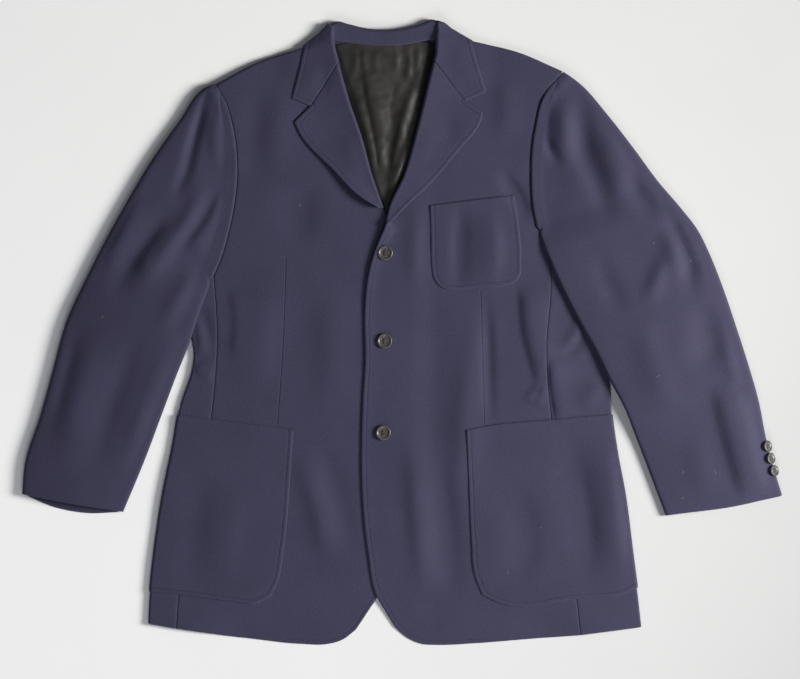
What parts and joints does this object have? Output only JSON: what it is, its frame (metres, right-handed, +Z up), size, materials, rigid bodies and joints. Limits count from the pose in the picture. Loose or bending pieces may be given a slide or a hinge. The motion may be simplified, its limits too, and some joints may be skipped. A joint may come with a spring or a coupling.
{
  "type": "blazer",
  "caption": "Single-breasted jacket of navy cloth with notch lapels and patch pockets, laid flat on its back and closed on its front buttons.",
  "frame": {"origin": "on the ground, under the middle of the jacket's box", "axes": "+X to the wearer's left sleeve, +Y to the collar, +Z up from the ground through the front"},
  "size_m": [0.9902, 0.8152, 0.0201],
  "materials": {
    "navy_wool": "matte woven wool",
    "satin": "glossy satin",
    "dark_horn": "polished"
  },
  "bodies": {
    "root": {"back_left": "navy_wool", "back_right": "navy_wool", "chest_pocket": "navy_wool", "collar_fall_back": "navy_wool", "collar_fall_left": "navy_wool", "collar_fall_right": "navy_wool", "collar_stand": "navy_wool", "front_left": "navy_wool", "front_right": "navy_wool", "lapel_left": "navy_wool", "lapel_right": "navy_wool", "patch_pocket_left": "navy_wool", "patch_pocket_right": "navy_wool", "side_panel_left": "navy_wool", "side_panel_right": "navy_wool", "top_sleeve_left": "navy_wool", "top_sleeve_right": "navy_wool", "under_sleeve_left": "navy_wool", "under_sleeve_right": "navy_wool", "back_lining": "satin", "cuff_button_1": "dark_horn", "cuff_button_2": "dark_horn", "cuff_button_3": "dark_horn", "front_button_1": "dark_horn", "front_button_2": "dark_horn", "front_button_3": "dark_horn"}
  },
  "joints": []
}
